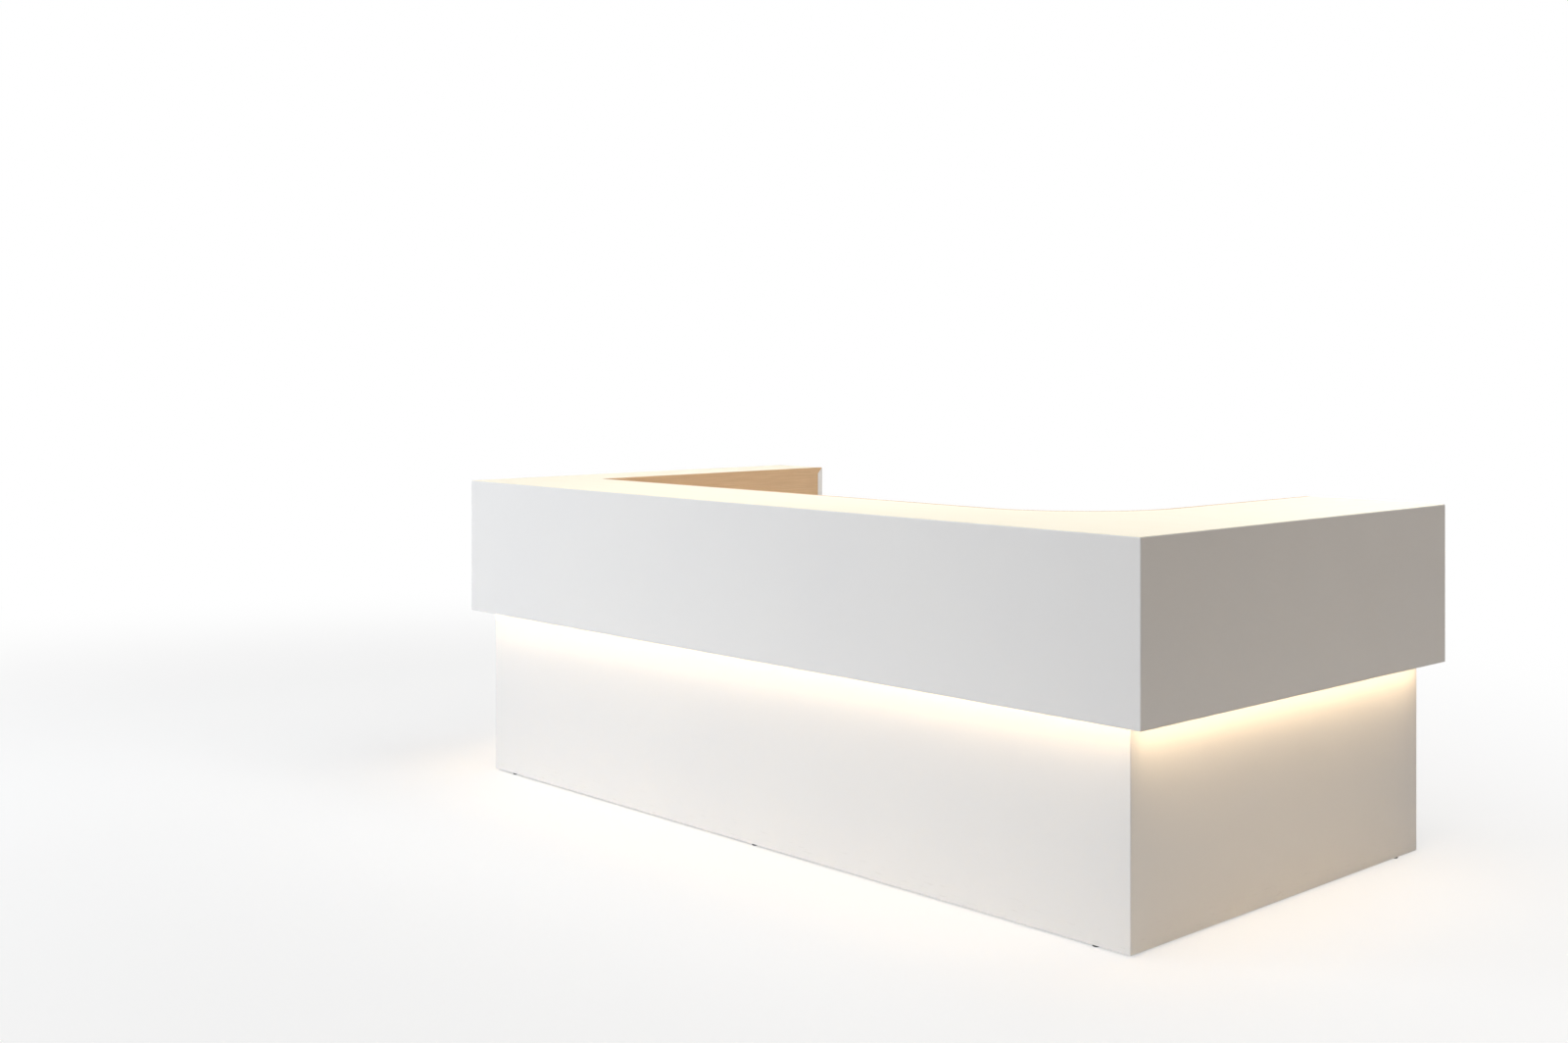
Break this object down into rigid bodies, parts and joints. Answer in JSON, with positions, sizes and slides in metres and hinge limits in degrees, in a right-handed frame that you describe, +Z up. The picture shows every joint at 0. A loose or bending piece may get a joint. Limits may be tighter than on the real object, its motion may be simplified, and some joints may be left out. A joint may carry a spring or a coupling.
{
  "type": "reception desk",
  "caption": "U-shaped tiered reception desk: white overhanging band lit from below, rounded inner counter corner, oak worktops, drawer pedestal, hinged cupboard and cable outlet.",
  "frame": {"origin": "on the floor, under the middle of the desk's outline", "axes": "+X along the front to the visitor's right, +Y from the visitor to the staff side, +Z up"},
  "size_m": [3.1, 1.6, 1.1],
  "materials": {
    "white_lacquer": "satin white lacquer on board",
    "cream_laminate": "satin cream maple laminate on board",
    "oak_laminate": "matt light-oak laminate on board",
    "birch_ply": "clear-lacquered birch plywood",
    "opal_light": "opal silicone, lit warm white",
    "graphite_plastic": "fine-textured black plastic",
    "pale_plastic": "smooth off-white plastic",
    "powder_steel": "light grey powder coat",
    "bright_steel": "brushed nickel plate"
  },
  "bodies": {
    "desk": {"fascia_front": "white_lacquer", "fascia_left": "white_lacquer", "fascia_right": "white_lacquer", "fascia_left_back": "white_lacquer", "fascia_right_back": "white_lacquer", "base_front_panel": "white_lacquer", "base_left_panel": "white_lacquer", "base_right_panel": "white_lacquer", "base_left_back_panel": "white_lacquer", "base_right_back_panel": "white_lacquer", "soffit_front": "white_lacquer", "soffit_left": "white_lacquer", "soffit_right": "white_lacquer", "gable_middle": "white_lacquer", "gable_right": "white_lacquer", "pedestal_carcass": "white_lacquer", "cupboard_kick": "white_lacquer", "counter_top_front": "cream_laminate", "counter_top_left": "cream_laminate", "counter_top_right": "cream_laminate", "counter_lipping": "oak_laminate", "left_inner_panel": "oak_laminate", "worktop_front": "oak_laminate", "worktop_return": "oak_laminate", "divider_left": "oak_laminate", "divider_right": "oak_laminate", "return_partition": "oak_laminate", "cupboard_floor": "oak_laminate", "cupboard_shelf": "oak_laminate", "led_strip_front": "opal_light", "led_strip_left": "opal_light", "led_strip_right": "opal_light", "grommet_ring": "graphite_plastic", "glide_front_left": "graphite_plastic", "glide_front_middle": "graphite_plastic", "glide_front_right": "graphite_plastic", "glide_back_left": "graphite_plastic", "glide_back_right": "graphite_plastic", "led_driver": "pale_plastic", "runner_top_left": "pale_plastic", "runner_top_right": "pale_plastic", "runner_middle_left": "pale_plastic", "runner_middle_right": "pale_plastic", "runner_bottom_left": "pale_plastic", "runner_bottom_right": "pale_plastic", "cable_tray": "powder_steel", "pivot_front_lower": "bright_steel", "pivot_front_upper": "bright_steel", "pivot_back_lower": "bright_steel", "pivot_back_upper": "bright_steel"},
    "drawer_top": {"drawer_front_top": "white_lacquer", "drawer_box_top": "birch_ply"},
    "drawer_middle": {"drawer_front_middle": "white_lacquer", "drawer_box_middle": "birch_ply"},
    "drawer_bottom": {"drawer_front_bottom": "white_lacquer", "drawer_box_bottom": "birch_ply"},
    "drawer_lock": {"lock_barrel": "bright_steel"},
    "door_front": {"cupboard_door_front": "white_lacquer"},
    "door_back": {"cupboard_door_back": "white_lacquer"},
    "outlet_cap": {"grommet_cap": "graphite_plastic"}
  },
  "joints": [
    {"name": "drawer_top_slide", "type": "slide", "parent": "desk", "child": "drawer_top", "axis": [0, 1, 0], "range_m": [0, 0.38]},
    {"name": "drawer_middle_slide", "type": "slide", "parent": "desk", "child": "drawer_middle", "axis": [0, 1, 0], "range_m": [0, 0.38]},
    {"name": "drawer_bottom_slide", "type": "slide", "parent": "desk", "child": "drawer_bottom", "axis": [0, 1, 0], "range_m": [0, 0.38]},
    {"name": "drawer_lock_turn", "type": "hinge", "parent": "drawer_top", "child": "drawer_lock", "pos_m": [-0.9417, -0.0167, 0.666], "axis": [0, 1, 0], "range_deg": [0, 90]},
    {"name": "door_front_hinge", "type": "hinge", "parent": "desk", "child": "door_front", "pos_m": [1.069, 0.0184, 0.08], "axis": [0, 0, 1], "range_deg": [0, 105]},
    {"name": "door_back_hinge", "type": "hinge", "parent": "desk", "child": "door_back", "pos_m": [1.069, 0.7202, 0.08], "axis": [0, 0, -1], "range_deg": [0, 105]},
    {"name": "outlet_cap_lift", "type": "slide", "parent": "desk", "child": "outlet_cap", "axis": [0, 0, 1], "range_m": [0, 0.05]}
  ]
}
